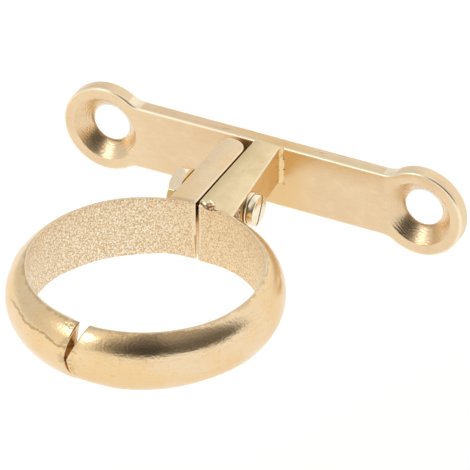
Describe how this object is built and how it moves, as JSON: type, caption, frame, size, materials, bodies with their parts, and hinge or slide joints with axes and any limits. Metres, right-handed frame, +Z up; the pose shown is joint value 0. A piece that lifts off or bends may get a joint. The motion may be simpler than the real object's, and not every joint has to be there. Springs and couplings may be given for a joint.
{
  "type": "split ring clamp on wall plate",
  "caption": "Brass split-ring clamp: a flat wall plate with countersunk screw holes, a short neck and a hinged two-jaw ring closed by a cross screw and nut.",
  "frame": {"origin": "centre of the plate's back face, which lies on the wall", "axes": "+X along the plate, +Y into the wall, +Z up along the ring's bore; the ring stands out towards -Y"},
  "size_m": [0.054, 0.0478, 0.0114],
  "materials": {
    "plate_brass": "satin with polished countersinks",
    "neck_brass": "polished, lightly scratched",
    "jaw_brass": "polished dome, cast grain in the bore",
    "screw_brass": "bright turned",
    "braze": "dull, pitted"
  },
  "bodies": {
    "root": {"back_plate": "plate_brass", "lug": "neck_brass", "fixed_jaw": "jaw_brass", "washer": "screw_brass", "braze_plate_joint": "braze", "braze_jaw_joint": "braze"},
    "screw": {"clamp_screw": "screw_brass"},
    "nut": {"hex_nut": "screw_brass"},
    "jaw": {"loose_jaw": "jaw_brass"}
  },
  "joints": [
    {"name": "screw_turn", "type": "hinge", "parent": "root", "child": "screw", "pos_m": [0, -0.0124, 0.00185], "axis": [1, 0, 0], "range_deg": [0, 1080]},
    {"name": "nut_travel", "type": "slide", "parent": "root", "child": "nut", "axis": [-1, 0, 0], "range_m": [0, 0.00135]},
    {"name": "jaw_swing", "type": "hinge", "parent": "nut", "child": "jaw", "pos_m": [0, -0.0124, 0.00185], "axis": [1, 0, 0], "range_deg": [-95, 95]}
  ],
  "couplings": [
    {"joint": "screw_turn", "follows": "nut_travel", "rad_per_m": 13963}
  ]
}
